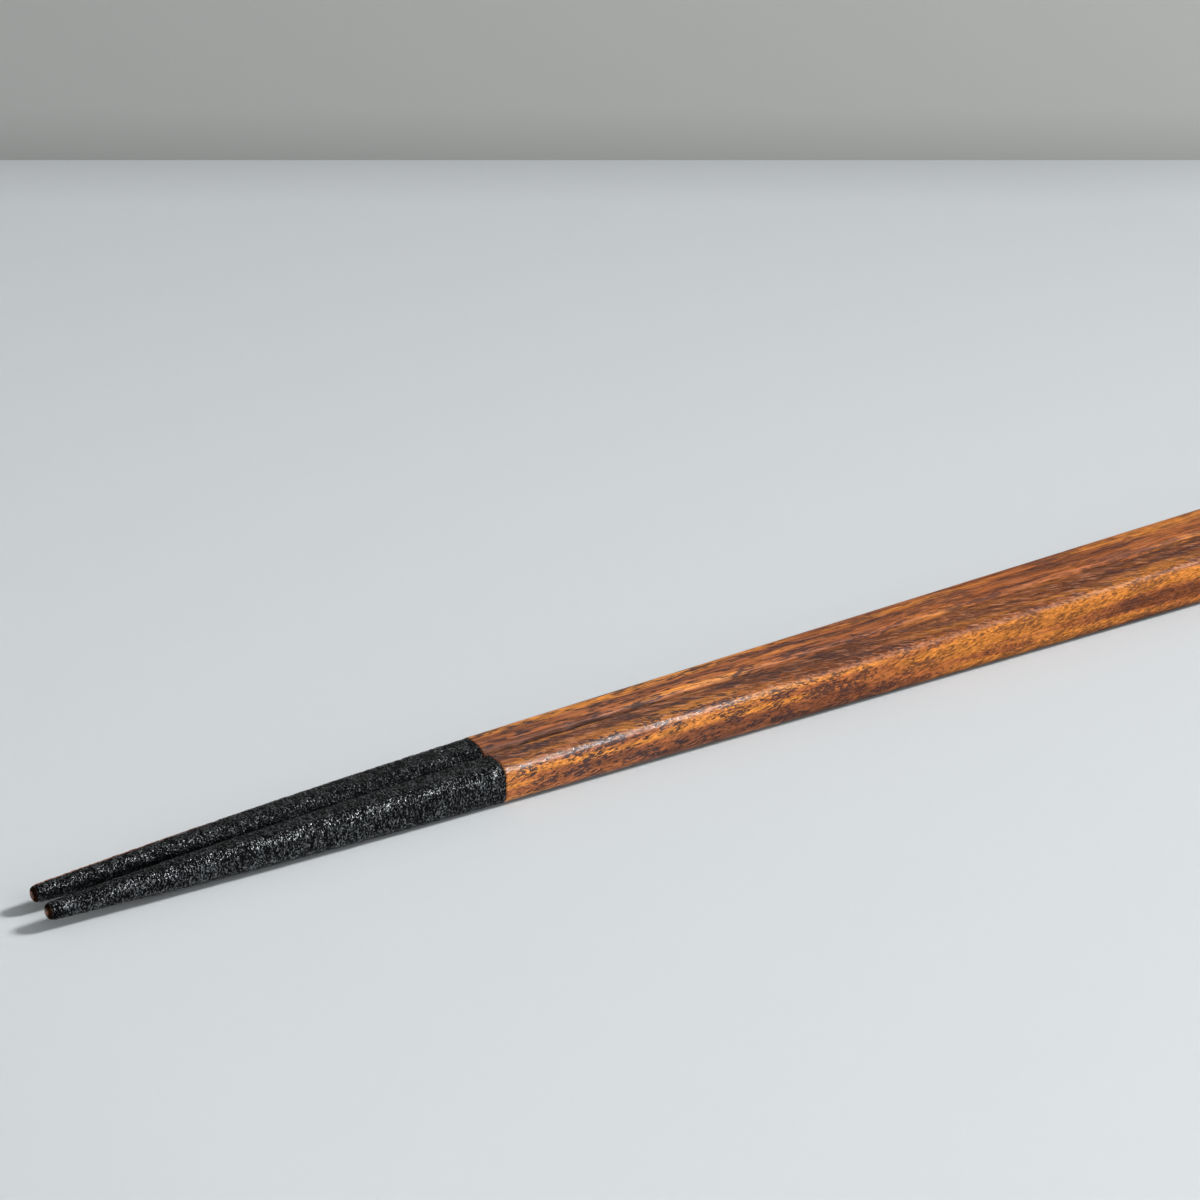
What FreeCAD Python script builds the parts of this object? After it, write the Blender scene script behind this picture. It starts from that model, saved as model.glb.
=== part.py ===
"""A pair of wooden chopsticks lying side by side, with black grainy tips.

Each stick is one length of hardwood. Its shaft is a square bar with rounded
corners that tapers evenly from the handle end down to the neck. From the neck
to the nose it thins faster, so that the tip lifts off the table, and its
corners grow until the section is almost round. The tip is dipped in a grainy
black coat. The wood is shaved by the coat's thickness under it, so the coat is
a thin sleeve of its own that ends flush with the shaft, and the very end of
the wood shows through where the coat has worn away.

Frame: millimetres, +Z up, the sticks lie along X with their noses at -X, each
with its flat lower side on Z = 0 and its inner side along Y = 0. The origin is
on the surface that they lie on, at the middle of the pair.
"""
import FreeCAD
import Part
import math
import os

# Lengths along the stick, from the nose
STICK_LENGTH = 230.0
NECK_STATION = 58.0
COAT_LENGTH = 51.0

# Widths across the flats
HANDLE_WIDTH = 7.5
NECK_WIDTH = 4.75
NOSE_WIDTH = 1.8

# How late the thinning sets in between neck and nose: 1 is a straight cone
THINNING_POWER = 2.4

# Corners of the square section
HANDLE_CORNER_RADIUS = 1.6
NECK_CORNER_RADIUS = 1.4
NOSE_CORNER_RADIUS = 0.8

# Edges round the two ends
NOSE_EDGE_RADIUS = 0.6
HANDLE_EDGE_RADIUS = 0.5

# The black coat, and the stretch of wood that it has worn off
COAT_THICKNESS = 0.12
BARE_NOSE = 0.5

# How the two sticks lie: the gap between them, and how far the back one is drawn back
SIDE_GAP = 0.05
BACK_STICK_LAG = 0.1

# Sections that the thinning between neck and nose is drawn through
TIP_SECTIONS = 9

# How far from a plane an edge may lie and still be taken as one of its edges
EDGE_TOLERANCE = 1e-4

FRONT = -1
BACK = 1


def shaft_half_width(x):
    """Half the width across the flats of the evenly tapered shaft, carried on to the nose."""
    growth = (HANDLE_WIDTH - NECK_WIDTH) / 2 / (STICK_LENGTH - NECK_STATION)
    return NECK_WIDTH / 2 + growth * (x - NECK_STATION)


def half_width(x):
    """Half the width across the flats at x from the nose."""
    if x >= NECK_STATION:
        return shaft_half_width(x)
    thinning = shaft_half_width(0) - NOSE_WIDTH / 2
    return shaft_half_width(x) - thinning * (1 - x / NECK_STATION) ** THINNING_POWER


def corner_radius(x):
    """Radius of the section's corners at x from the nose."""
    if x >= NECK_STATION:
        share = (x - NECK_STATION) / (STICK_LENGTH - NECK_STATION)
        return NECK_CORNER_RADIUS + share * (HANDLE_CORNER_RADIUS - NECK_CORNER_RADIUS)
    neck_roundness = NECK_CORNER_RADIUS / (NECK_WIDTH / 2)
    nose_roundness = NOSE_CORNER_RADIUS / (NOSE_WIDTH / 2)
    roundness = nose_roundness + (neck_roundness - nose_roundness) * x / NECK_STATION
    return roundness * half_width(x)


def section(x, side, inset):
    """Four flats and four corners of the rounded square at x from the nose, drawn in by inset."""
    middle = FreeCAD.Vector(x, side * (shaft_half_width(x) + SIDE_GAP / 2), shaft_half_width(x))
    half = half_width(x) - inset
    radius = corner_radius(x) - inset
    flat = half - radius
    mid_arc = flat + radius * math.sqrt(0.5)
    quarter = [(half, -flat), (half, flat), (mid_arc, mid_arc), (flat, half)]
    edges = []
    for turns in range(4):
        turn = FreeCAD.Rotation(FreeCAD.Vector(1, 0, 0), 90 * turns)
        points = [middle + turn.multVec(FreeCAD.Vector(0, y, z)) for y, z in quarter]
        edges.append(Part.LineSegment(points[0], points[1]).toShape())
        edges.append(Part.Arc(points[1], points[2], points[3]).toShape())
    return edges


def edges_at(shape, x):
    """The edges of a shape that lie in the plane at x."""
    return [e for e in shape.Edges if max(abs(e.BoundBox.XMin - x), abs(e.BoundBox.XMax - x)) < EDGE_TOLERANCE]


def tip_form(side, inset):
    """The thinning tip: a loft from the nose to the neck, with a rounded edge round the nose."""
    thinning_length = NECK_STATION - inset
    stations = [inset + thinning_length * k / (TIP_SECTIONS - 1) for k in range(TIP_SECTIONS)]
    tip = Part.makeLoft([Part.Wire(section(x, side, inset)) for x in stations], True, False)
    return tip.makeFillet(NOSE_EDGE_RADIUS - inset, edges_at(tip, inset))


def shaft_form(side, inset):
    """The evenly tapered shaft, from faces that look outwards: plane sides and ruled corners."""
    neck = section(NECK_STATION, side, inset)
    handle = section(STICK_LENGTH, side, inset)
    faces = [Part.Face(Part.Wire(neck)).reversed(), Part.Face(Part.Wire(handle))]
    for neck_flat, handle_flat in zip(neck[0::2], handle[0::2]):
        ends = [v.Point for v in neck_flat.Vertexes + handle_flat.Vertexes[::-1]]
        faces.append(Part.Face(Part.makePolygon(ends + ends[:1])))
    for neck_corner, handle_corner in zip(neck[1::2], handle[1::2]):
        faces.append(Part.makeRuledSurface(neck_corner, handle_corner))
    shaft = Part.Solid(Part.Shell(faces))
    return shaft.makeFillet(HANDLE_EDGE_RADIUS, edges_at(shaft, STICK_LENGTH))


def stick_form(side, inset):
    """A whole stick, with its sides and its nose drawn in by inset."""
    return tip_form(side, inset).fuse(shaft_form(side, inset))


def slab(x_from, x_to):
    """A block that holds everything between two stations."""
    reach = 2 * HANDLE_WIDTH
    return Part.makeBox(x_to - x_from, 2 * reach, 2 * reach, FreeCAD.Vector(x_from, -reach, -reach))


def stick_pieces(side):
    """The wood and the coat of one stick, with the nose at X = 0."""
    outer = stick_form(side, 0.0)
    core = stick_form(side, COAT_THICKNESS)
    beyond_ends = HANDLE_WIDTH
    bare_shaft = outer.common(slab(COAT_LENGTH, STICK_LENGTH + beyond_ends))
    shaved_tip = core.common(slab(-beyond_ends, COAT_LENGTH))
    wood = bare_shaft.fuse(shaved_tip)
    coat = outer.common(slab(BARE_NOSE, COAT_LENGTH)).cut(core)
    return wood.Solids[0], coat.Solids[0]


def pair():
    """The four pieces by name, with the origin under the middle of the pair."""
    front_stick, front_coat = stick_pieces(FRONT)
    back_stick, back_coat = stick_pieces(BACK)
    drawn_back = FreeCAD.Vector(BACK_STICK_LAG, 0, 0)
    pieces = {
        "front_stick": front_stick,
        "front_tip_coat": front_coat,
        "back_stick": back_stick.translated(drawn_back),
        "back_tip_coat": back_coat.translated(drawn_back),
    }
    foremost = COAT_THICKNESS
    hindmost = STICK_LENGTH + BACK_STICK_LAG
    to_middle = FreeCAD.Vector(-(foremost + hindmost) / 2, 0, 0)
    return {name: piece.translated(to_middle) for name, piece in pieces.items()}


os.makedirs("parts", exist_ok=True)
for node, solid in pair().items():
    solid.exportStep("parts/" + node + ".step")
    print(node, "volume", round(solid.Volume, 3), "closed and valid", solid.isClosed() and solid.isValid())
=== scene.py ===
import math

import bpy
from mathutils import Matrix, Vector


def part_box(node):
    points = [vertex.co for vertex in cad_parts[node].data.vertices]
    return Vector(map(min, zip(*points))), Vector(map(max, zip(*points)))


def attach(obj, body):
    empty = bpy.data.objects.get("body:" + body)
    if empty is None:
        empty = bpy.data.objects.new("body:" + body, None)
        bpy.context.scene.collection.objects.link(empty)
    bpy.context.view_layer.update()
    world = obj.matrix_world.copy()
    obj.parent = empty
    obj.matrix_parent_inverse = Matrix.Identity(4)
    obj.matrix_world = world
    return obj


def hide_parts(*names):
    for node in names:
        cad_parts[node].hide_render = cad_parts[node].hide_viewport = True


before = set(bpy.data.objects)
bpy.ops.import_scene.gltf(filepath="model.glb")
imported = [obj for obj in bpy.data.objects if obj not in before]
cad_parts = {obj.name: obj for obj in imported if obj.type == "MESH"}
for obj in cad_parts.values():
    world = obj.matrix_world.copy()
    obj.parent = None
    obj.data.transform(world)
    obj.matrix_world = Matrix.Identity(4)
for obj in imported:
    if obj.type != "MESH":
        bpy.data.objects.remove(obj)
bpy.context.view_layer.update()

bl_info = {
    "name": "Pair of wooden chopsticks",
    "version": (1, 0, 0),
    "blender": (4, 5, 0),
    "location": "View3D > Sidebar > Chopsticks",
    "description": "Two lacquered wooden chopsticks with grainy black tips, lying side by side",
    "category": "Object",
}

MM = 0.001

# How far the shown surface lies inside the solid's, so that rounding never takes it outside
SKIN = 0.001 * MM

# The photograph's frame, in pixels
FRAME_WIDTH = 1200.0

# The coat's hollows are darker than its grain tops: painted shade
COAT_HOLLOW_SHADE = (0.0025, 0.0025, 0.003)
COAT_GRAIN_TOP = (0.010, 0.010, 0.0115)
NOSE_STAIN = (0.008, 0.005, 0.004)

FRONT_SIDE = -1
BACK_SIDE = 1

# The wood's nose is drawn in by the coat's thickness
COAT_THICKNESS = 0.12 * MM
FRONT_LOW, FRONT_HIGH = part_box("front_stick")
BACK_LOW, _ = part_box("back_stick")
COAT_LOW, COAT_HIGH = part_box("front_tip_coat")
FRONT_NOSE = FRONT_LOW[0] - COAT_THICKNESS
BACK_NOSE = BACK_LOW[0] - COAT_THICKNESS
STICK_LENGTH = FRONT_HIGH[0] - FRONT_NOSE
COAT_END = COAT_HIGH[0] - FRONT_NOSE
COAT_START = COAT_LOW[0] - FRONT_NOSE


# ---------------------------------------------------------------- settings


class ChopstickForm(bpy.types.PropertyGroup):
    """Sizes of one stick; both sticks share them."""

    handle_width: bpy.props.FloatProperty(
        name="Handle width", description="Width across the flats at the handle end",
        default=7.5 * MM, unit="LENGTH",
    )
    side_gap: bpy.props.FloatProperty(
        name="Side gap", description="Gap between the two sticks", default=0.05 * MM, unit="LENGTH"
    )
    neck_station: bpy.props.FloatProperty(
        name="Neck station",
        description="Distance from the nose to where the even taper of the shaft begins",
        default=58 * MM,
        unit="LENGTH",
    )
    neck_width: bpy.props.FloatProperty(
        name="Neck width", description="Width across the flats at the neck", default=4.75 * MM, unit="LENGTH"
    )
    nose_width: bpy.props.FloatProperty(
        name="Nose width", description="Width across the flats at the nose", default=1.8 * MM, unit="LENGTH"
    )
    thinning_power: bpy.props.FloatProperty(
        name="Thinning power", description="How late the thinning sets in between neck and nose", default=2.4
    )
    handle_corner: bpy.props.FloatProperty(
        name="Handle corner", description="Corner radius at the handle end", default=1.6 * MM, unit="LENGTH"
    )
    neck_corner: bpy.props.FloatProperty(
        name="Neck corner", description="Corner radius at the neck", default=1.4 * MM, unit="LENGTH"
    )
    nose_corner: bpy.props.FloatProperty(
        name="Nose corner", description="Corner radius at the nose", default=0.8 * MM, unit="LENGTH"
    )
    nose_edge: bpy.props.FloatProperty(
        name="Nose edge", description="Radius that rounds the nose", default=0.6 * MM, unit="LENGTH"
    )
    handle_edge: bpy.props.FloatProperty(
        name="Handle edge", description="Radius of the edge round the handle end",
        default=0.5 * MM, unit="LENGTH",
    )


class CoatRelief(bpy.types.PropertyGroup):
    """How rough the black coat is."""

    grain_depth: bpy.props.FloatProperty(
        name="Grain depth", description="Depth of the leathery grain", default=0.045 * MM, unit="LENGTH"
    )
    grain_size: bpy.props.FloatProperty(
        name="Grain size", description="Size of one grain of the coat", default=0.30 * MM, unit="LENGTH"
    )
    wrinkle_depth: bpy.props.FloatProperty(
        name="Wrinkle depth", description="Depth of the crosswise wrinkles", default=0.035 * MM, unit="LENGTH"
    )
    wrinkle_pitch: bpy.props.FloatProperty(
        name="Wrinkle pitch", description="Distance between crosswise wrinkles",
        default=0.75 * MM, unit="LENGTH",
    )
    worn_length: bpy.props.FloatProperty(
        name="Worn length", description="Stretch at the nose over which the coat thins to nothing",
        default=0.5 * MM, unit="LENGTH",
    )


class WoodLook(bpy.types.PropertyGroup):
    """Colours, gloss and waviness of the wood."""

    pore: bpy.props.FloatVectorProperty(
        name="Pore", description="Colour of the dark dashes", subtype="COLOR", size=3,
        default=(0.045, 0.016, 0.010),
    )
    shade: bpy.props.FloatVectorProperty(
        name="Shade", description="Colour of the pores where they crowd", subtype="COLOR", size=3,
        default=(0.042, 0.022, 0.024),
    )
    heart: bpy.props.FloatVectorProperty(
        name="Heart", description="Colour of the dark bands", subtype="COLOR", size=3,
        default=(0.20, 0.060, 0.022),
    )
    body: bpy.props.FloatVectorProperty(
        name="Body", description="Colour of most of the wood", subtype="COLOR", size=3,
        default=(0.40, 0.120, 0.034),
    )
    amber: bpy.props.FloatVectorProperty(
        name="Amber", description="Colour of the bright streaks", subtype="COLOR", size=3,
        default=(0.72, 0.255, 0.040),
    )
    # Pale fibres, and the painted sheen they carry on the level sides
    fibre_and_sheen: bpy.props.FloatVectorProperty(
        name="Blush", description="Colour of the pale fibres", subtype="COLOR", size=3,
        default=(0.55, 0.25, 0.15),
    )
    lacquer: bpy.props.FloatProperty(
        name="Lacquer", description="How glossy the clear lacquer is on the corners",
        default=1.0, min=0.0, max=1.0,
    )
    flat_lacquer: bpy.props.FloatProperty(
        name="Flat lacquer", description="How glossy the clear lacquer is on the flats",
        default=0.11, min=0.0, max=1.0,
    )
    # Painted shade in the seam between the sticks
    seam_shade_colour: bpy.props.FloatVectorProperty(
        name="Grime", description="Colour of the seam between the sticks", subtype="COLOR", size=3,
        default=(0.022, 0.010, 0.006),
    )
    relief_depth: bpy.props.FloatProperty(
        name="Relief depth", description="Depth of the waviness that follows the grain",
        default=0.014 * MM, unit="LENGTH",
    )


class StageSettings(bpy.types.PropertyGroup):
    """The camera, and the floor and wall that the sticks are seen against."""

    azimuth: bpy.props.FloatProperty(
        name="Azimuth", description="Turn of the camera round the sticks",
        default=math.radians(-32.15), subtype="ANGLE",
    )
    elevation: bpy.props.FloatProperty(
        name="Elevation", description="Height of the view above the table",
        default=math.radians(25.21), subtype="ANGLE",
    )
    focal: bpy.props.FloatProperty(
        name="Focal length", description="In pixels of the photograph's frame", default=3200.0
    )
    nose_depth: bpy.props.FloatProperty(
        name="Nose depth", description="Distance along the view to the front nose",
        default=316.3 * MM, unit="LENGTH",
    )
    nose_u: bpy.props.FloatProperty(
        name="Nose across", description="Pixel across at which the front nose's foot is seen", default=38.4
    )
    nose_v: bpy.props.FloatProperty(
        name="Nose down", description="Pixel down at which the front nose's foot is seen", default=921.0
    )
    wall_line: bpy.props.FloatProperty(
        name="Wall line", description="Pixel down at which the table meets the wall", default=160.0
    )
    floor_colour: bpy.props.FloatVectorProperty(
        name="Floor", description="Colour of the table", subtype="COLOR", size=3, default=(0.60, 0.626, 0.643)
    )
    wall_colour: bpy.props.FloatVectorProperty(
        name="Wall", description="Colour of the wall behind", subtype="COLOR", size=3,
        default=(0.56, 0.56, 0.54),
    )


# ---------------------------------------------------------------- node writing


class Tree:
    """Writes a node tree: each method adds a node and gives its output socket."""

    COLUMNS = 12
    COLUMN_WIDTH = 180
    ROW_HEIGHT = 220

    def __init__(self, tree):
        self.tree = tree
        self.count = 0

    def node(self, kind, **settings):
        made = self.tree.nodes.new(kind)
        row, column = divmod(self.count, self.COLUMNS)
        made.location = (self.COLUMN_WIDTH * column, -self.ROW_HEIGHT * row)
        self.count += 1
        for key, value in settings.items():
            setattr(made, key, value)
        return made

    def put(self, socket, value):
        if isinstance(value, bpy.types.NodeSocket):
            self.tree.links.new(value, socket)
        else:
            socket.default_value = value

    def math(self, operation, *values, clamp=False):
        made = self.node("ShaderNodeMath", operation=operation, use_clamp=clamp)
        for socket, value in zip(made.inputs, values):
            self.put(socket, value)
        return made.outputs[0]

    def vector(self, operation, *values, scale=None):
        made = self.node("ShaderNodeVectorMath", operation=operation)
        for socket, value in zip(made.inputs, values):
            self.put(socket, value)
        if scale is not None:
            self.put(made.inputs["Scale"], scale)
        return made.outputs["Value"] if operation in ("LENGTH", "DOT_PRODUCT") else made.outputs["Vector"]

    def combine(self, x, y, z):
        made = self.node("ShaderNodeCombineXYZ")
        for socket, value in zip(made.inputs, (x, y, z)):
            self.put(socket, value)
        return made.outputs[0]

    def separate(self, value):
        made = self.node("ShaderNodeSeparateXYZ")
        self.put(made.inputs[0], value)
        return made.outputs

    def noise(self, place, scale, detail=2.0, roughness=0.5):
        made = self.node("ShaderNodeTexNoise")
        self.put(made.inputs["Vector"], place)
        self.put(made.inputs["Scale"], scale)
        self.put(made.inputs["Detail"], detail)
        self.put(made.inputs["Roughness"], roughness)
        return made.outputs[0]

    def cells(self, place, scale, feature="F1"):
        made = self.node("ShaderNodeTexVoronoi", feature=feature)
        self.put(made.inputs["Vector"], place)
        self.put(made.inputs["Scale"], scale)
        return made.outputs["Distance"]

    def span(self, value, low, high, to_low=0.0, to_high=1.0, smooth=True):
        made = self.node("ShaderNodeMapRange", interpolation_type="SMOOTHSTEP" if smooth else "LINEAR")
        for socket, item in zip(made.inputs, (value, low, high, to_low, to_high)):
            self.put(socket, item)
        return made.outputs[0]

    def blend(self, share, first, second, mode="MIX"):
        """Mixes two colours; a Mix node's colours are its inputs 6 and 7 and its output 2."""
        made = self.node("ShaderNodeMix", data_type="RGBA", blend_type=mode)
        self.put(made.inputs[0], share)
        self.put(made.inputs[6], first)
        self.put(made.inputs[7], second)
        return made.outputs[2]

    def stretched(self, place, along, across=1.0):
        """A place scaled along X and across it, so that a pattern read there is drawn out or squeezed."""
        return self.vector("MULTIPLY", place, (along, across, across))

    def inverse(self, size):
        """The scale that gives a pattern this size."""
        return self.math("DIVIDE", 1.0, size)

    def direction(self, key):
        """The parts of a direction that the piece's points carry under this name."""
        return self.separate(self.node("ShaderNodeAttribute", attribute_name=key).outputs["Vector"])


def declare(tree, inputs, outputs):
    """Gives a node group its sockets: name, socket type and default."""
    for name, kind, value in inputs:
        socket = tree.interface.new_socket(name=name, in_out="INPUT", socket_type=kind)
        if value is not None:
            socket.default_value = value
    for name, kind in outputs:
        tree.interface.new_socket(name=name, in_out="OUTPUT", socket_type=kind)


# ---------------------------------------------------------------- stick form


def rounded_square_ring(arc_steps, flat_steps):
    """Corner and round directions of the points round one section, starting at +Y's lower end."""
    points = []
    for quarter in range(4):
        turn = quarter * math.pi / 2
        ahead = Matrix.Rotation(turn, 2)
        for k in range(flat_steps):
            share = k / flat_steps
            points.append((ahead @ Vector((1, 2 * share - 1)), ahead @ Vector((1, 0))))
        for k in range(arc_steps):
            angle = math.pi / 2 * k / arc_steps
            points.append((ahead @ Vector((1, 1)), ahead @ Vector((math.cos(angle), math.sin(angle)))))
    return points


def spread(start, end, count):
    """Evenly spaced values, the end left out."""
    return [start + (end - start) * k / count for k in range(count)]


def nose_inset(station, edge, radius):
    """How far the rounded nose draws a section in: an arc of this radius about the edge's own middle."""
    reach = max(edge - station, 0.0)
    return edge - math.sqrt(radius * radius - reach * reach)


def build_grid(name, rings, ring_points, closed_along):
    """A closed mesh of quads whose points carry what the form tree reads, all at the origin until then."""
    around = len(ring_points)
    rows = []
    for station, inset, share, relief in rings:
        rows.append((station, inset, share, relief, 1 if share == 0.0 else around))
    counts = [row[4] for row in rows]
    starts = [sum(counts[:k]) for k in range(len(counts))]
    faces = []
    pairs = list(zip(range(len(rows)), range(1, len(rows))))
    if closed_along:
        pairs.append((len(rows) - 1, 0))
    for a, b in pairs:
        for k in range(around):
            n = (k + 1) % around
            if counts[a] == 1:
                faces.append((starts[a], starts[b] + n, starts[b] + k))
            elif counts[b] == 1:
                faces.append((starts[a] + k, starts[a] + n, starts[b]))
            else:
                faces.append((starts[a] + k, starts[a] + n, starts[b] + n, starts[b] + k))
    mesh = bpy.data.meshes.new(name)
    total = sum(counts)
    mesh.from_pydata([(0.0, 0.0, 0.0)] * total, [], faces)
    values = {"station": [], "inset": [], "share": [], "relief": [], "corner": [], "outward": []}
    for station, inset, share, relief, count in rows:
        for k in range(count):
            corner, outward = ring_points[k]
            values["station"].append(station)
            values["inset"].append(inset)
            values["share"].append(share)
            values["relief"].append(relief)
            values["corner"] += [0.0, corner.x, corner.y]
            values["outward"] += [0.0, outward.x, outward.y]
    for key, data in values.items():
        vector = key in ("corner", "outward")
        layer = mesh.attributes.new(key, "FLOAT_VECTOR" if vector else "FLOAT", "POINT")
        layer.data.foreach_set("vector" if vector else "value", data)
    mesh.polygons.foreach_set("use_smooth", [True] * len(faces))
    made = bpy.data.objects.new(name, mesh)
    bpy.context.scene.collection.objects.link(made)
    return made


FORM_INPUTS = (
    ("Geometry", "NodeSocketGeometry", None),
    ("Nose Place", "NodeSocketFloat", 0.0),
    ("Side", "NodeSocketFloat", -1.0),
    ("Side Gap", "NodeSocketFloat", 0.0),
    ("Stick Length", "NodeSocketFloat", STICK_LENGTH),
    ("Handle Width", "NodeSocketFloat", 0.0),
    ("Neck Station", "NodeSocketFloat", 0.0),
    ("Neck Width", "NodeSocketFloat", 0.0),
    ("Nose Width", "NodeSocketFloat", 0.0),
    ("Thinning Power", "NodeSocketFloat", 1.0),
    ("Handle Corner", "NodeSocketFloat", 0.0),
    ("Neck Corner", "NodeSocketFloat", 0.0),
    ("Nose Corner", "NodeSocketFloat", 0.0),
    ("Seed", "NodeSocketInt", 1),
    ("Coarse Depth", "NodeSocketFloat", 0.0),
    ("Coarse Size", "NodeSocketFloat", 0.001),
    ("Fine Depth", "NodeSocketFloat", 0.0),
    ("Fine Size", "NodeSocketFloat", 0.001),
    ("Finish", "NodeSocketMaterial", None),
)


def form_tree(name, relief_writer):
    """A Geometry Nodes tree that gives a grid the stick's form, then the relief of its finish."""
    tree = bpy.data.node_groups.new(name, "GeometryNodeTree")
    declare(tree, FORM_INPUTS, (("Geometry", "NodeSocketGeometry"),))
    t = Tree(tree)
    given = t.node("NodeGroupInput").outputs

    def stored(key, vector=False):
        made = t.node("GeometryNodeInputNamedAttribute", data_type="FLOAT_VECTOR" if vector else "FLOAT")
        made.inputs["Name"].default_value = key
        return made.outputs["Attribute"]

    station = stored("station")
    growth = t.math(
        "DIVIDE",
        t.math("SUBTRACT", given["Handle Width"], given["Neck Width"]),
        t.math("MULTIPLY", 2.0, t.math("SUBTRACT", given["Stick Length"], given["Neck Station"])),
    )
    past_neck = t.math("SUBTRACT", station, given["Neck Station"])
    shaft_half = t.math("MULTIPLY_ADD", growth, past_neck, t.math("MULTIPLY", given["Neck Width"], 0.5))
    shaft_half_at_nose = t.math(
        "SUBTRACT",
        t.math("MULTIPLY", given["Neck Width"], 0.5),
        t.math("MULTIPLY", growth, given["Neck Station"]),
    )
    thinning = t.math("SUBTRACT", shaft_half_at_nose, t.math("MULTIPLY", given["Nose Width"], 0.5))
    nose_share = t.math("SUBTRACT", 1.0, t.math("DIVIDE", station, given["Neck Station"]), clamp=True)
    half = t.math(
        "SUBTRACT",
        shaft_half,
        t.math("MULTIPLY", thinning, t.math("POWER", nose_share, given["Thinning Power"])),
    )
    neck_roundness = t.math("DIVIDE", t.math("MULTIPLY", given["Neck Corner"], 2.0), given["Neck Width"])
    nose_roundness = t.math("DIVIDE", t.math("MULTIPLY", given["Nose Corner"], 2.0), given["Nose Width"])
    roundness = t.span(nose_share, 0.0, 1.0, neck_roundness, nose_roundness, smooth=False)
    shaft_corner = t.span(
        station, given["Neck Station"], given["Stick Length"],
        given["Neck Corner"], given["Handle Corner"], smooth=False,
    )
    in_tip = t.math("LESS_THAN", station, given["Neck Station"])
    corner_radius = t.math(
        "MULTIPLY_ADD",
        in_tip,
        t.math("SUBTRACT", t.math("MULTIPLY", roundness, half), shaft_corner),
        shaft_corner,
    )
    inset = stored("inset")
    smallest = 0.02 * MM
    radius = t.math("MAXIMUM", t.math("SUBTRACT", corner_radius, inset), smallest)
    flat = t.math("SUBTRACT", t.math("SUBTRACT", half, inset), radius)
    from_middle = t.vector(
        "ADD",
        t.vector("SCALE", stored("corner", True), scale=flat),
        t.vector("SCALE", stored("outward", True), scale=radius),
    )
    middle = t.combine(
        t.math("ADD", given["Nose Place"], station),
        t.math("MULTIPLY", given["Side"], t.math("MULTIPLY_ADD", given["Side Gap"], 0.5, shaft_half)),
        shaft_half,
    )
    place = t.vector("ADD", middle, t.vector("SCALE", from_middle, scale=stored("share")))
    formed = t.node("GeometryNodeSetPosition")
    t.put(formed.inputs["Geometry"], given["Geometry"])
    t.put(formed.inputs["Position"], place)

    position = t.node("GeometryNodeInputPosition").outputs[0]
    seed_shift = t.vector("SCALE", (0.37, 0.61, 0.83), scale=given["Seed"])
    height = relief_writer(t, given, t.vector("ADD", position, seed_shift))
    height = t.math("MULTIPLY", height, stored("relief"))
    raised = t.node("GeometryNodeSetPosition")
    t.put(raised.inputs["Geometry"], formed.outputs[0])
    normal = t.node("GeometryNodeInputNormal").outputs[0]
    t.put(raised.inputs["Offset"], t.vector("SCALE", normal, scale=height))
    realized = t.node("GeometryNodeRealizeInstances")
    t.put(realized.inputs[0], raised.outputs[0])
    finished = t.node("GeometryNodeSetMaterial")
    t.put(finished.inputs["Geometry"], realized.outputs[0])
    t.put(finished.inputs["Material"], given["Finish"])
    t.put(t.node("NodeGroupOutput").inputs[0], finished.outputs[0])
    return tree


def coat_relief(t, given, place):
    """Height of the coat: leathery grain, crosswise wrinkles and a few cracks; never above the solid."""
    grain_scale = t.inverse(given["Fine Size"])
    push = t.combine(t.noise(place, grain_scale, 1.0), 0.5, 0.5)
    push = t.vector("SCALE", push, scale=t.math("MULTIPLY", given["Fine Size"], 0.6))
    grain = t.span(t.cells(t.vector("ADD", place, push), grain_scale), 0.15, 0.75)
    rough = t.noise(place, t.math("MULTIPLY", grain_scale, 1.7), 2.0, 0.6)
    wrinkle = t.noise(t.stretched(place, 1.0, 0.22), t.inverse(given["Coarse Size"]), 2.0, 0.55)
    wrinkle = t.span(wrinkle, 0.38, 0.62)
    crack_scale = t.math("DIVIDE", 0.28, given["Coarse Size"])
    crack = t.cells(t.stretched(place, 1.0, 0.30), crack_scale, feature="DISTANCE_TO_EDGE")
    crack = t.span(crack, 0.0, 0.035, 1.0, 0.0)
    depth = t.math("MULTIPLY_ADD", grain, 0.65, t.math("MULTIPLY", rough, 0.5))
    depth = t.math("MULTIPLY", given["Fine Depth"], depth)
    depth = t.math("MULTIPLY_ADD", given["Coarse Depth"], wrinkle, depth)
    depth = t.math("MULTIPLY_ADD", t.math("MULTIPLY", given["Coarse Depth"], 0.8), crack, depth)
    return t.math("MULTIPLY", depth, -1.0)


def wood_relief(t, given, place):
    """Height of the lacquered wood: the waviness that its grain leaves; never above the solid."""
    ripple = t.noise(t.stretched(place, 0.16), t.inverse(given["Fine Size"]), 2.0, 0.5)
    swell = t.noise(t.stretched(place, 0.35), t.inverse(given["Coarse Size"]), 1.0)
    depth = t.math("MULTIPLY", given["Fine Depth"], ripple)
    depth = t.math("MULTIPLY_ADD", given["Coarse Depth"], swell, depth)
    return t.math("MULTIPLY", depth, -1.0)


def run_tree(grid, tree, values):
    """Applies a form tree to a grid and leaves a plain mesh in the grid's place."""
    modifier = grid.modifiers.new(tree.name, "NODES")
    modifier.node_group = tree
    identifiers = {item.name: item.identifier for item in tree.interface.items_tree if item.in_out == "INPUT"}
    for name, value in values.items():
        modifier[identifiers[name]] = value
    grid.update_tag()
    bpy.context.view_layer.update()
    evaluated = grid.evaluated_get(bpy.context.evaluated_depsgraph_get())
    mesh = bpy.data.meshes.new_from_object(evaluated)
    mesh.name = grid.name
    rough_grid = grid.data
    grid.modifiers.clear()
    grid.data = mesh
    bpy.data.meshes.remove(rough_grid)
    for key in ("inset", "share", "relief"):
        layer = mesh.attributes.get(key)
        if layer:
            mesh.attributes.remove(layer)
    return grid


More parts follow.
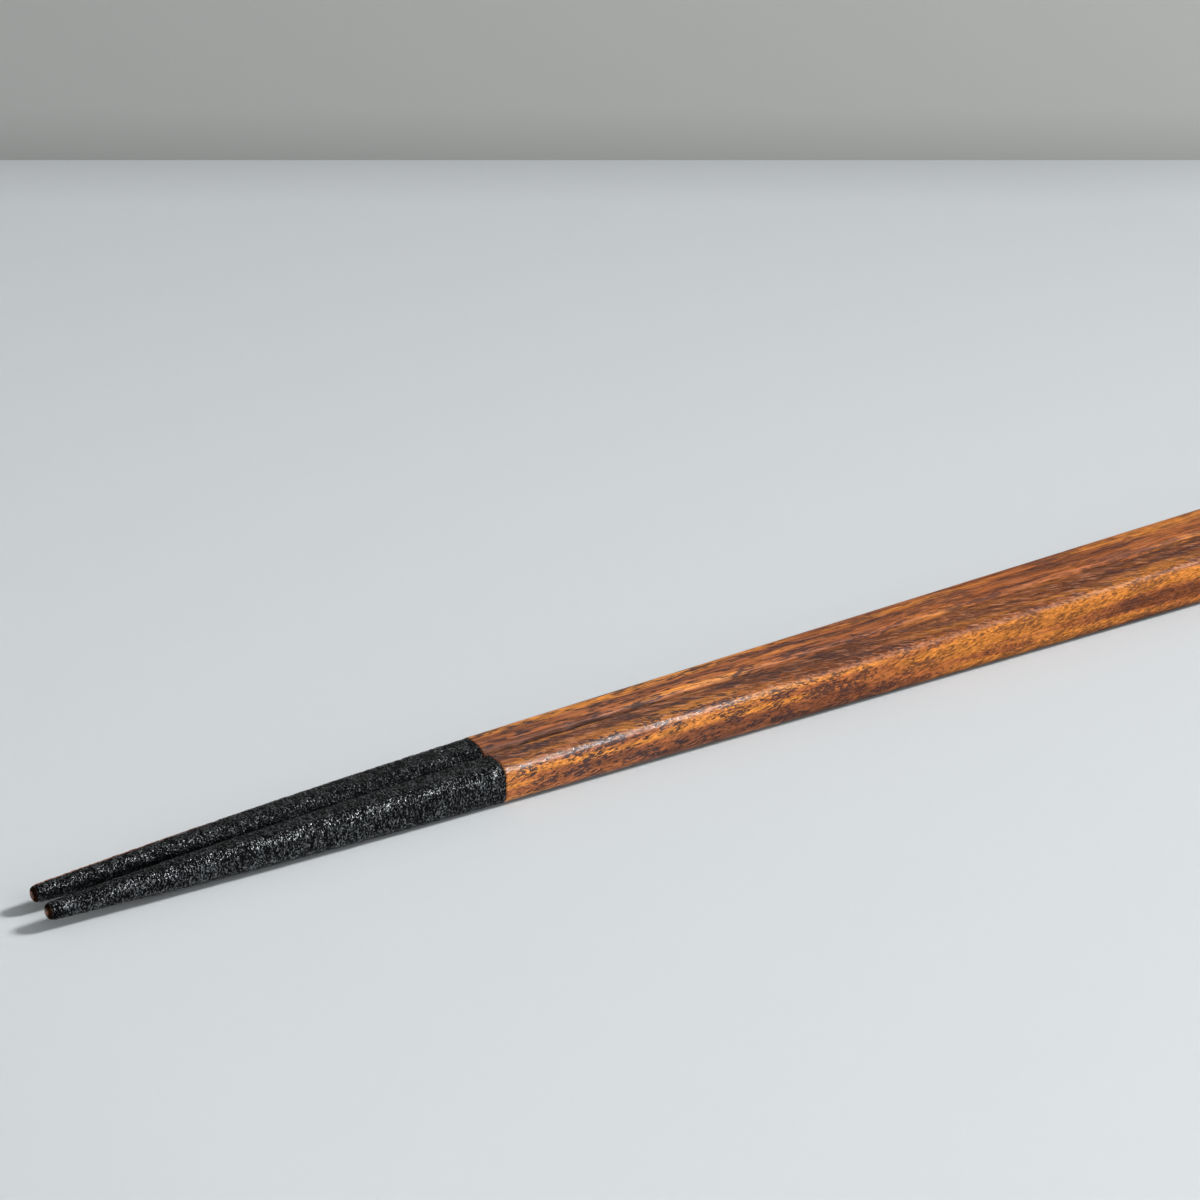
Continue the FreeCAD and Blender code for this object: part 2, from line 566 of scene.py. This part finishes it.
def form_values(nose_place, side, seed):
    """What both form trees take from the settings."""
    form = bpy.context.scene.chopstick_form
    return {
        "Nose Place": nose_place,
        "Side": float(side),
        "Side Gap": form.side_gap,
        "Stick Length": STICK_LENGTH,
        "Handle Width": form.handle_width,
        "Neck Station": form.neck_station,
        "Neck Width": form.neck_width,
        "Nose Width": form.nose_width,
        "Thinning Power": form.thinning_power,
        "Handle Corner": form.handle_corner,
        "Neck Corner": form.neck_corner,
        "Nose Corner": form.nose_corner,
        "Seed": seed,
    }


def smooth_ramp(value):
    """0 below 0, 1 above 1, with a smooth rise between."""
    held = min(max(value, 0.0), 1.0)
    return held * held * (3 - 2 * held)


def wood_rings():
    """Rings of the wood: its nose, the shaved tip under the coat, the shoulder and the shaft."""
    form = bpy.context.scene.chopstick_form
    edge = form.nose_edge
    radius = edge - COAT_THICKNESS
    face_steps, nose_steps, tip_steps, shaft_steps, edge_steps = 6, 12, 60, 760, 10
    relief_rise = 1.0 * MM
    rings = [(COAT_THICKNESS, edge, share, 0.0) for share in spread(0.0, 1.0, face_steps)]
    for angle in spread(0.0, math.pi / 2, nose_steps):
        rings.append((edge - radius * math.cos(angle), edge - radius * math.sin(angle), 1.0, 0.0))
    for station in spread(edge, COAT_END, tip_steps):
        rings.append((station, COAT_THICKNESS, 1.0, 0.0))
    rings.append((COAT_END, COAT_THICKNESS, 1.0, 0.0))
    shaft_end = STICK_LENGTH - form.handle_edge
    for station in spread(COAT_END, shaft_end, shaft_steps):
        relief = smooth_ramp((station - COAT_END) / relief_rise)
        relief *= smooth_ramp((shaft_end - station) / relief_rise)
        rings.append((station, SKIN, 1.0, relief))
    edge_radius = form.handle_edge - SKIN
    for k in range(edge_steps + 1):
        angle = math.pi / 2 * k / edge_steps
        inset = form.handle_edge - edge_radius * math.cos(angle)
        rings.append((shaft_end + edge_radius * math.sin(angle), inset, 1.0, 0.0))
    for share in (0.8, 0.6, 0.4, 0.2, 0.0):
        rings.append((shaft_end + edge_radius, form.handle_edge, share, 0.0))
    return rings


def coat_rings():
    """Rings of the coat: out along its grainy outside, over its upper end, and back along its inside."""
    relief = bpy.context.scene.coat_relief
    edge = bpy.context.scene.chopstick_form.nose_edge
    outer_steps, inner_steps = 680, 40
    relief_start = 0.2 * MM
    end_rise = 0.35 * MM
    most_worn = COAT_THICKNESS * 0.96
    rings = []
    for k in range(outer_steps + 1):
        station = COAT_START + (COAT_END - COAT_START) * k / outer_steps
        worn = 1.0 - smooth_ramp((station - COAT_START) / relief.worn_length)
        fade = smooth_ramp((station - COAT_START - relief_start) / relief.worn_length)
        fade *= 0.35 + 0.65 * smooth_ramp((COAT_END - station) / end_rise)
        inset = nose_inset(station, edge, edge) + SKIN + most_worn * worn
        rings.append((station, inset, 1.0, fade))
    for k in range(inner_steps + 1):
        station = COAT_END - (COAT_END - COAT_START) * k / inner_steps
        rings.append((station, nose_inset(station, edge, edge - COAT_THICKNESS), 1.0, 0.0))
    return rings


# ---------------------------------------------------------------- finishes


def grain_group():
    """Wood grain in a solid block: bands along X, and pores and fibres whose lines lean off it."""
    tree = bpy.data.node_groups.new("Wood grain", "ShaderNodeTree")
    declare(
        tree,
        (
            ("Place", "NodeSocketVector", None),
            ("Shift", "NodeSocketVector", (0.0, 0.0, 0.0)),
            ("Lean", "NodeSocketVector", (0.0, 0.0, 0.0)),
            ("Band Size", "NodeSocketFloat", 1.6 * MM),
            ("Dash Size", "NodeSocketFloat", 0.17 * MM),
        ),
        (
            ("Bands", "NodeSocketFloat"),
            ("Dashes", "NodeSocketFloat"),
            ("Crowd", "NodeSocketFloat"),
            ("Fibre", "NodeSocketFloat"),
            ("Sheen", "NodeSocketFloat"),
        ),
    )
    t = Tree(tree)
    given = t.node("NodeGroupInput").outputs
    out = t.node("NodeGroupOutput")
    shifted = t.vector("ADD", given["Place"], given["Shift"])
    bend = t.noise(t.stretched(shifted, 40.0, 120.0), 1.0, 1.0)
    bend = t.math("MULTIPLY", t.math("SUBTRACT", bend, 0.5), 1.6 * MM)
    wandering = t.vector("ADD", shifted, t.combine(0.0, bend, bend))
    leaning = t.vector("ADD", wandering, t.vector("SCALE", given["Lean"], scale=t.separate(shifted)[0]))
    band_scale = t.inverse(given["Band Size"])
    dash_scale = t.inverse(given["Dash Size"])
    t.put(out.inputs["Bands"], t.noise(t.stretched(wandering, 0.060), band_scale, 3.0, 0.5))
    crowd = t.noise(t.stretched(leaning, 0.20), t.math("MULTIPLY", band_scale, 1.3), 2.0, 0.6)
    crowd = t.span(crowd, 0.38, 0.64)
    t.put(out.inputs["Crowd"], crowd)
    dashes = t.noise(t.stretched(leaning, 0.11), dash_scale, 2.0, 0.55)
    edge = t.math("MULTIPLY_ADD", crowd, -0.20, 0.575)
    dashes = t.span(dashes, edge, t.math("ADD", edge, 0.12))
    blots = t.noise(t.stretched(leaning, 0.40), t.math("MULTIPLY", band_scale, 1.5), 3.0, 0.6)
    blots = t.math("MULTIPLY", t.span(blots, 0.54, 0.68), t.math("MULTIPLY", crowd, 0.85))
    t.put(out.inputs["Dashes"], t.math("MAXIMUM", dashes, blots))
    fibre = t.noise(t.stretched(leaning, 0.05), t.math("MULTIPLY", dash_scale, 0.75), 4.0, 0.7)
    t.put(out.inputs["Fibre"], fibre)
    sheen = t.noise(t.stretched(leaning, 0.05), t.math("MULTIPLY", dash_scale, 0.7), 2.0, 0.6)
    t.put(out.inputs["Sheen"], t.span(sheen, 0.52, 0.66))
    return tree


def speck_group():
    """Fine uneven specks for a bump, used by both finishes."""
    tree = bpy.data.node_groups.new("Fine specks", "ShaderNodeTree")
    declare(
        tree,
        (
            ("Place", "NodeSocketVector", None),
            ("Size", "NodeSocketFloat", 0.2 * MM),
            ("Stretch", "NodeSocketFloat", 1.0),
            ("Detail", "NodeSocketFloat", 3.0),
        ),
        (("Height", "NodeSocketFloat"),),
    )
    t = Tree(tree)
    given = t.node("NodeGroupInput").outputs
    out = t.node("NodeGroupOutput")
    squeezed = t.vector("MULTIPLY", given["Place"], t.combine(given["Stretch"], 1.0, 1.0))
    scale = t.inverse(given["Size"])
    coarse = t.noise(squeezed, scale, given["Detail"], 0.65)
    cell = t.cells(squeezed, t.math("MULTIPLY", scale, 1.4))
    t.put(out.inputs["Height"], t.math("MULTIPLY_ADD", cell, -0.45, coarse))
    return tree


def new_material(name):
    """An empty material with a Principled BSDF, its tree writer and its coordinates."""
    material = bpy.data.materials.new(name)
    material.use_nodes = True
    tree = material.node_tree
    tree.nodes.clear()
    t = Tree(tree)
    shader = t.node("ShaderNodeBsdfPrincipled")
    t.put(t.node("ShaderNodeOutputMaterial").inputs["Surface"], shader.outputs[0])
    place = t.node("ShaderNodeTexCoord").outputs["Object"]
    return material, t, shader, place


def use_group(t, group, **values):
    """Places a node group and sets its sockets, whose names have underscores for spaces here."""
    made = t.node("ShaderNodeGroup", node_tree=group)
    for key, value in values.items():
        t.put(made.inputs[key.replace("_", " ")], value)
    return made.outputs


def four(colour):
    """A colour with full alpha."""
    return (colour[0], colour[1], colour[2], 1.0)


def wood_material(name, side, nose_place, shift, lean, level_shade_tone, level_sheen, gloss):
    """Streaked red-brown hardwood under clear lacquer, with painted shade in the seam and on its level sides,
    and a painted pinkish sheen over its pale fibres on the level sides.
    """
    look = bpy.context.scene.wood_look
    material, t, shader, place = new_material(name)
    grain = use_group(t, bpy.data.node_groups["Wood grain"], Place=place, Shift=shift, Lean=lean)
    _, normal_y, normal_z = t.direction("outward")
    _, corner_y, corner_z = t.direction("corner")
    level = t.math("ABSOLUTE", normal_z)
    rounding = t.math("MULTIPLY", t.math("ABSOLUTE", t.math("MULTIPLY", normal_y, normal_z)), 2.0)
    along, across, _ = t.separate(place)
    coat_end = nose_place + COAT_END

    def past_coat(near, far, start=20 * MM, end=75 * MM):
        """A value that goes from near to far between two distances from the coat's end."""
        return t.span(along, coat_end + start, coat_end + end, near, far)

    from_edge = t.math(
        "ADD",
        t.math("ABSOLUTE", t.math("SUBTRACT", t.math("MULTIPLY", corner_y, side), 1.0)),
        t.math("ABSOLUTE", t.math("SUBTRACT", corner_z, 1.0)),
    )
    bands = t.math("ADD", grain["Bands"], t.span(from_edge, 0.1, 1.5, 0.07, -0.03))
    # Painted shade: the bands turn less amber and darker on the level sides
    bands = t.math("MULTIPLY_ADD", level, -0.10 * level_sheen, bands)
    amber_share = t.math("MULTIPLY", past_coat(1.0, 0.65), t.span(bands, 0.47, 0.60))
    colour = t.blend(amber_share, four(look.body), four(look.amber))
    colour = t.blend(t.span(bands, 0.46, 0.36), colour, four(look.heart))
    fibre = t.span(grain["Fibre"], 0.34, 0.66, 0.42, 1.58, smooth=False)
    # Painted shade: the wood is darkened on its level sides
    fibre = t.math("MULTIPLY", fibre, t.span(level, 0.3, 1.0, 1.0, level_shade_tone))
    fibre = t.math("MULTIPLY", fibre, past_coat(1.0, 0.87))
    colour = t.blend(1.0, colour, t.combine(fibre, fibre, fibre), mode="MULTIPLY")
    # Painted sheen: the pale fibres show more strongly on the level sides
    sheen = t.math("MULTIPLY", grain["Sheen"], t.span(level, 0.3, 1.0, 0.08, level_sheen))
    colour = t.blend(sheen, colour, four(look.fibre_and_sheen))
    pore = t.blend(grain["Crowd"], four(look.pore), four(look.shade))
    colour = t.blend(t.math("MULTIPLY", grain["Dashes"], past_coat(0.94, 0.60)), colour, pore)

    # Painted shade in the seam where the sticks meet, ragged along the grain
    uneven = t.noise(t.stretched(place, 0.15), 1 / (0.5 * MM), 2.0)
    from_seam = t.math("MULTIPLY_ADD", t.math("SUBTRACT", uneven, 0.5), 0.7 * MM, t.math("ABSOLUTE", across))
    seam = t.span(from_seam, 0.25 * MM, 0.60 * MM, 1.0, 0.0)
    seam = t.math("MULTIPLY", seam, past_coat(0.80, 0.25, 5 * MM, 50 * MM))
    colour = t.blend(seam, colour, four(look.seam_shade_colour))

    # The black ring that the coat leaves round the bare nose
    form = bpy.context.scene.chopstick_form
    taper = (form.handle_width - form.neck_width) / (STICK_LENGTH - form.neck_station)
    nose_height = (form.neck_width - taper * form.neck_station) / 2
    nose_middle = (nose_place + COAT_THICKNESS, side * (nose_height + form.side_gap / 2), nose_height)
    from_nose = t.vector("LENGTH", t.vector("SUBTRACT", place, nose_middle))
    uneven = t.noise(place, 1 / (0.4 * MM), 2.0)
    from_nose = t.math("MULTIPLY_ADD", t.math("SUBTRACT", uneven, 0.5), 0.4 * MM, from_nose)
    stained = t.span(from_nose, 0.30 * MM, 0.58 * MM)
    stained = t.math("MULTIPLY", stained, t.span(from_nose, 2.5 * MM, 2.0 * MM))
    colour = t.blend(t.math("MULTIPLY", stained, 0.95), colour, four(NOSE_STAIN))
    t.put(shader.inputs["Base Color"], colour)

    # The lacquer is clear of the nose's stain and of the painted seam shade, which takes out its reflection
    # there too, and it is glossiest on the corners near the coat
    t.put(shader.inputs["Roughness"], t.math("MULTIPLY_ADD", grain["Dashes"], 0.10, 0.45))
    clear_of_stain_and_shade = t.math("SUBTRACT", 1.0, t.math("MAXIMUM", seam, stained))
    t.put(shader.inputs["Specular IOR Level"], t.math("MULTIPLY", clear_of_stain_and_shade, past_coat(0.15, 0.05)))
    polish = t.span(rounding, 0.84, 1.0, look.flat_lacquer, gloss * look.lacquer)
    polish = t.math("MULTIPLY", past_coat(1.0, 0.03, 8 * MM, 42 * MM), polish)
    polish = t.math("MULTIPLY", polish, t.span(grain["Fibre"], 0.40, 0.54, 0.25, 1.0))
    t.put(shader.inputs["Coat Weight"], t.math("MULTIPLY", clear_of_stain_and_shade, polish))
    shader.inputs["Coat Roughness"].default_value = 0.26
    shader.inputs["Coat IOR"].default_value = 2.4
    specks = use_group(t, bpy.data.node_groups["Fine specks"], Place=place, Size=0.35 * MM, Stretch=0.15)
    height = t.math("MULTIPLY_ADD", grain["Dashes"], -0.7, specks["Height"])
    height = t.math("MULTIPLY_ADD", grain["Fibre"], 1.5, height)
    for socket, strength in (("Normal", 0.7), ("Coat Normal", 0.35)):
        bump = t.node("ShaderNodeBump")
        bump.inputs["Strength"].default_value = strength
        bump.inputs["Distance"].default_value = 0.04 * MM
        t.put(bump.inputs["Height"], height)
        t.put(shader.inputs[socket], bump.outputs[0])
    return material


def coat_material(name, side, nose_place, rubbed):
    """Grainy black lacquer whose grains catch the light, with painted shade in its hollows and near the seam,
    rubbed to brown along its outer corner.
    """
    look = bpy.context.scene.wood_look
    material, t, shader, place = new_material(name)
    along, across, _ = t.separate(place)
    specks = use_group(
        t, bpy.data.node_groups["Fine specks"], Place=place, Size=0.30 * MM, Stretch=1.4, Detail=1.0
    )
    ribs = t.noise(t.stretched(place, 1.0, 0.20), 1 / (0.9 * MM), 2.0, 0.6)
    ribs = t.span(t.math("ABSOLUTE", t.math("SUBTRACT", ribs, 0.5)), 0.0, 0.035)
    height = t.math("MULTIPLY_ADD", ribs, 0.16, specks["Height"])
    # Painted shade: the hollows between the grains take a darker colour than the grain tops
    unshaded_grain_top = t.span(height, 0.37, 0.61)
    # Painted shade near the seam between the sticks: the grain tops darken there and their glints dim
    seam = t.span(t.math("ABSOLUTE", across), 0.5 * MM, 1.5 * MM, 1.0, 0.0)
    unshaded_grain_top = t.math("MULTIPLY", unshaded_grain_top, t.math("MULTIPLY_ADD", seam, -0.85, 1.0))
    colour = t.blend(unshaded_grain_top, four(COAT_HOLLOW_SHADE), four(COAT_GRAIN_TOP))
    _, normal_y, _ = t.direction("outward")
    outer = t.math("MULTIPLY", normal_y, side)
    rub = t.math("MULTIPLY", t.span(outer, 0.10, 0.26), t.span(outer, 0.72, 0.54))
    rub = t.math("MULTIPLY", rub, t.span(along, nose_place + 3 * MM, nose_place + 26 * MM, rubbed, 0.0))
    colour = t.blend(rub, colour, four(look.body))
    t.put(shader.inputs["Base Color"], colour)
    clumps = t.span(t.noise(place, 1 / (0.8 * MM), 2.0, 0.6), 0.38, 0.60, 0.25, 1.0)
    glint = t.math("MULTIPLY", clumps, t.span(unshaded_grain_top, 0.0, 1.0, 0.03, 0.95, smooth=False))
    t.put(shader.inputs["Specular IOR Level"], glint)
    shader.inputs["Specular Tint"].default_value = (0.91, 0.97, 1.0, 1.0)
    shader.inputs["IOR"].default_value = 1.9
    shader.inputs["Roughness"].default_value = 0.27
    bump = t.node("ShaderNodeBump")
    bump.inputs["Strength"].default_value = 1.0
    bump.inputs["Distance"].default_value = 0.16 * MM
    t.put(bump.inputs["Height"], height)
    t.put(shader.inputs["Normal"], bump.outputs[0])
    return material


def plain_material(name, colour, roughness, painted_shade_fades):
    """A plain finish with painted shade that darkens it along directions: each with its start, its end and
    the share left there.
    """
    material, t, shader, place = new_material(name)
    tone = four(colour)
    for direction, start, end, left in painted_shade_fades:
        share = t.span(t.vector("DOT_PRODUCT", place, direction), start, end, 1.0, left, smooth=False)
        tone = t.blend(1.0, tone, t.combine(share, share, share), mode="MULTIPLY")
    t.put(shader.inputs["Base Color"], tone)
    shader.inputs["Roughness"].default_value = roughness
    shader.inputs["Specular IOR Level"].default_value = 0.2
    return material


# ---------------------------------------------------------------- operators


class CHOPSTICKS_OT_finishes(bpy.types.Operator):
    """Makes the shader groups that the wood and the coat share."""

    bl_idname = "chopsticks.finishes"
    bl_label = "Shared finishes"

    def execute(self, context):
        grain_group()
        speck_group()
        return {"FINISHED"}


class CHOPSTICKS_OT_sticks(bpy.types.Operator):
    """Makes the wood of the front stick and of the back stick."""

    bl_idname = "chopsticks.sticks"
    bl_label = "Wooden sticks"

    def execute(self, context):
        look = context.scene.wood_look
        tree = form_tree("Wooden stick form", wood_relief)
        ring = rounded_square_ring(arc_steps=14, flat_steps=8)
        # Each stick sets how much painted shade and painted sheen its level sides get
        for name, nose, side, seed, looks in (
            ("front_stick", FRONT_NOSE, FRONT_SIDE, 3, {
                "shift": (0.0, 0.0, 0.0), "lean": (0.0, 0.26, -0.15),
                "level_shade_tone": 0.56, "level_sheen": 0.50, "gloss": 1.0,
            }),
            ("back_stick", BACK_NOSE, BACK_SIDE, 8, {
                "shift": (0.217, 0.041, 0.033), "lean": (0.0, 0.05, -0.02),
                "level_shade_tone": 0.82, "level_sheen": 0.20, "gloss": 0.15,
            }),
        ):
            grid = build_grid(name + "_wood", wood_rings(), ring, closed_along=False)
            material = wood_material(name + "_lacquered_wood", side, nose, **looks)
            values = form_values(nose, side, seed)
            values.update({
                "Fine Depth": look.relief_depth,
                "Fine Size": 1.1 * MM,
                "Coarse Depth": look.relief_depth * 1.2,
                "Coarse Size": 4.0 * MM,
                "Finish": material,
            })
            piece = run_tree(grid, tree, values)
            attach(piece, "root")
            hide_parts(name)
        return {"FINISHED"}


class CHOPSTICKS_OT_coats(bpy.types.Operator):
    """Makes the grainy black coats round both tips."""

    bl_idname = "chopsticks.coats"
    bl_label = "Grainy tip coats"

    def execute(self, context):
        relief = context.scene.coat_relief
        tree = form_tree("Grainy coat form", coat_relief)
        ring = rounded_square_ring(arc_steps=22, flat_steps=10)
        for name, nose, side, seed, rubbed in (
            ("front_tip_coat", FRONT_NOSE, FRONT_SIDE, 5, 0.0),
            ("back_tip_coat", BACK_NOSE, BACK_SIDE, 12, 0.9),
        ):
            material = coat_material(name + "_black_grain", side, nose, rubbed)
            grid = build_grid(name + "_grain", coat_rings(), ring, closed_along=True)
            values = form_values(nose, side, seed)
            values.update({
                "Fine Depth": relief.grain_depth,
                "Fine Size": relief.grain_size,
                "Coarse Depth": relief.wrinkle_depth,
                "Coarse Size": relief.wrinkle_pitch,
                "Finish": material,
            })
            piece = run_tree(grid, tree, values)
            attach(piece, "root")
            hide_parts(name)
        return {"FINISHED"}


def flat_sheet(name, corners, material):
    """A single quad for the stage."""
    mesh = bpy.data.meshes.new(name)
    mesh.from_pydata(corners, [], [(0, 1, 2, 3)])
    mesh.materials.append(material)
    made = bpy.data.objects.new(name, mesh)
    bpy.context.scene.collection.objects.link(made)


def soft_lamp(name, target, toward, distance, size, power):
    """A square soft white lamp that stands off from a point and is aimed at it."""
    light = bpy.data.lights.new(name, "AREA")
    light.shape = "SQUARE"
    light.size = size
    light.energy = power
    made = bpy.data.objects.new(name, light)
    made.location = target + toward.normalized() * distance
    made.rotation_euler = (target - made.location).to_track_quat("-Z", "Y").to_euler()
    bpy.context.scene.collection.objects.link(made)


class CHOPSTICKS_OT_stage(bpy.types.Operator):
    """Sets the floor, the wall, the lamps and the camera."""

    bl_idname = "chopsticks.stage"
    bl_label = "Stage"

    def execute(self, context):
        scene = context.scene
        settings = scene.stage_settings
        azimuth, elevation = settings.azimuth, settings.elevation
        back = Vector((
            math.sin(azimuth) * math.cos(elevation),
            -math.cos(azimuth) * math.cos(elevation),
            math.sin(elevation),
        ))
        right = Vector((math.cos(azimuth), math.sin(azimuth), 0.0))
        up = back.cross(right)
        sensor = 36.0
        depth = settings.nose_depth
        foot = Vector((FRONT_NOSE, 0.0, 0.0))
        seen_right = (settings.nose_u - FRAME_WIDTH / 2) / settings.focal * depth
        seen_up = -(settings.nose_v - FRAME_WIDTH / 2) / settings.focal * depth
        camera_data = bpy.data.cameras.new("Camera")
        camera_data.sensor_width = sensor
        camera_data.lens = settings.focal / FRAME_WIDTH * sensor
        camera_data.clip_start = 0.01
        camera_data.clip_end = 20.0
        camera = bpy.data.objects.new("Camera", camera_data)
        camera.location = foot - right * seen_right - up * seen_up + back * depth
        camera.rotation_euler = Matrix((right, up, back)).transposed().to_euler()
        scene.collection.objects.link(camera)
        scene.camera = camera

        reach = 3.0
        aside = right * reach
        ahead = Vector((-back.x, -back.y, 0.0)).normalized()
        edge_below_horizon = elevation - math.atan((FRAME_WIDTH / 2 - settings.wall_line) / settings.focal)
        camera_reach = camera.location.z / math.tan(edge_below_horizon)
        table_depth = camera.location.dot(ahead) + camera_reach
        near, far = ahead * -reach, ahead * table_depth
        upwards = Vector((0.0, 0.0, 1.0))
        lift = upwards * reach
        # Painted shade on the floor: it darkens along this direction, and in a strip before the table's far
        # edge
        painted_light_falloff = ahead * 0.96 + right * 1.4
        floor = plain_material("pale_table", settings.floor_colour, 0.6, (
            (painted_light_falloff, -0.20, 0.22, 0.68),
            (ahead, table_depth - 0.023, table_depth, 0.84),
        ))
        # Painted shade on the wall: darker along its foot, where it meets the table
        wall = plain_material("pale_wall", settings.wall_colour, 0.9, ((upwards, 0.009, 0.0, 0.84),))
        flat_sheet("Table", [near - aside, near + aside, far + aside, far - aside], floor)
        flat_sheet("Wall", [far - aside, far + aside, far + aside + lift, far - aside + lift], wall)

        world = bpy.data.worlds.new("Studio")
        world.use_nodes = True
        background = world.node_tree.nodes["Background"]
        background.inputs["Color"].default_value = (0.93, 0.97, 1.0, 1.0)
        background.inputs["Strength"].default_value = 0.22
        scene.world = world
        coat_end = Vector((FRONT_NOSE + COAT_END, 0.0, 0.0))
        soft_lamp("Key", coat_end, Vector((0.73, -0.28, 0.62)), distance=0.9, size=0.16, power=9.6)
        soft_lamp("Fill", coat_end, Vector((0.30, -0.85, 0.43)), distance=0.8, size=0.5, power=2.3)
        scene.view_settings.view_transform = "Standard"
        return {"FINISHED"}


class CHOPSTICKS_PT_panel(bpy.types.Panel):
    """Lists the steps and the settings in the sidebar."""

    bl_idname = "CHOPSTICKS_PT_panel"
    bl_label = "Chopsticks"
    bl_space_type = "VIEW_3D"
    bl_region_type = "UI"
    bl_category = "Chopsticks"

    def draw(self, context):
        layout = self.layout
        for operator in STEPS:
            layout.operator(operator.bl_idname)
        for key in SETTINGS:
            group = getattr(context.scene, key)
            box = layout.box()
            box.label(text=group.bl_rna.name)
            for prop in group.bl_rna.properties:
                if prop.identifier not in ("name", "rna_type"):
                    box.prop(group, prop.identifier)


STEPS = (CHOPSTICKS_OT_finishes, CHOPSTICKS_OT_sticks, CHOPSTICKS_OT_coats, CHOPSTICKS_OT_stage)
SETTINGS = {
    "chopstick_form": ChopstickForm,
    "coat_relief": CoatRelief,
    "wood_look": WoodLook,
    "stage_settings": StageSettings,
}


def register():
    """Registers the settings, the steps and the panel."""
    for key, group in SETTINGS.items():
        bpy.utils.register_class(group)
        setattr(bpy.types.Scene, key, bpy.props.PointerProperty(type=group))
    for step in STEPS:
        bpy.utils.register_class(step)
    bpy.utils.register_class(CHOPSTICKS_PT_panel)


def unregister():
    """Takes back what register did."""
    bpy.utils.unregister_class(CHOPSTICKS_PT_panel)
    for step in reversed(STEPS):
        bpy.utils.unregister_class(step)
    for key, group in reversed(SETTINGS.items()):
        delattr(bpy.types.Scene, key)
        bpy.utils.unregister_class(group)


def main():
    """Registers the add-on and runs its steps in order."""
    register()
    bpy.ops.chopsticks.finishes()
    bpy.ops.chopsticks.sticks()
    bpy.ops.chopsticks.coats()
    bpy.ops.chopsticks.stage()


if __name__ == "__main__":
    main()
